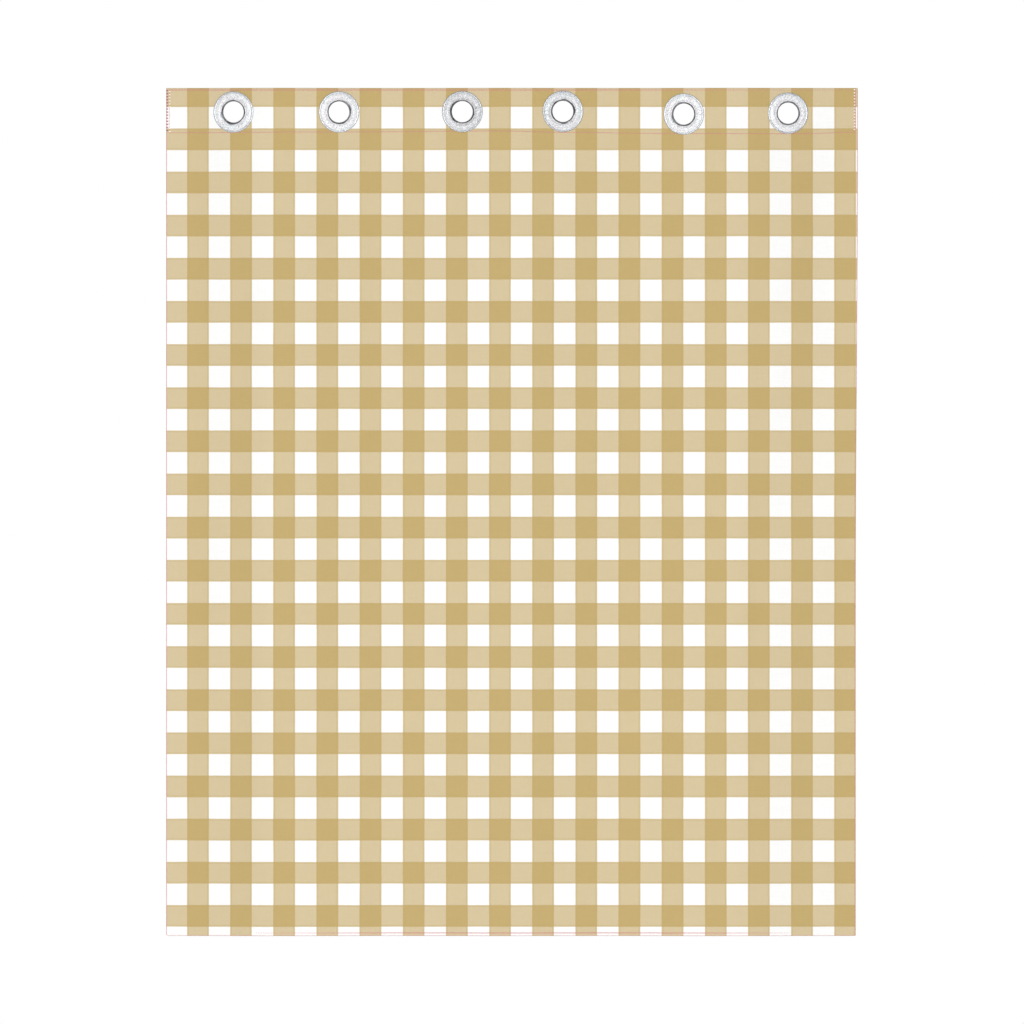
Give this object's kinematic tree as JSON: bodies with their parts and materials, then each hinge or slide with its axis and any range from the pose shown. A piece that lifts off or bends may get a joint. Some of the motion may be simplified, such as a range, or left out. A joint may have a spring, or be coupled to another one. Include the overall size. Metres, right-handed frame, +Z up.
{
  "type": "curtain",
  "caption": "Unlined gingham curtain panel with a turned-down, stitched heading, a narrow bottom hem and a row of round snap-together eyelets that run on a rod.",
  "frame": {"origin": "middle of the top edge, halfway through the heading's thickness, where the curtain is held up", "axes": "+Z up, +X to the right as the curtain is seen from its front, -Y towards the viewer"},
  "size_m": [1.143, 0.038, 1.4],
  "materials": {
    "gingham_cloth": "matte",
    "eyelet_silver": "pearl silver, satin",
    "seam_thread": "matte",
    "white_thread": "matte"
  },
  "bodies": {
    "root": {"panel": "gingham_cloth", "heading_1": "gingham_cloth", "heading_2": "gingham_cloth", "heading_3": "gingham_cloth", "heading_4": "gingham_cloth", "heading_5": "gingham_cloth", "heading_6": "gingham_cloth", "eyelet_front_1": "eyelet_silver", "eyelet_front_2": "eyelet_silver", "eyelet_front_3": "eyelet_silver", "eyelet_front_4": "eyelet_silver", "eyelet_front_5": "eyelet_silver", "eyelet_front_6": "eyelet_silver", "eyelet_back_1": "eyelet_silver", "eyelet_back_2": "eyelet_silver", "eyelet_back_3": "eyelet_silver", "eyelet_back_4": "eyelet_silver", "eyelet_back_5": "eyelet_silver", "eyelet_back_6": "eyelet_silver"}
  },
  "joints": []
}
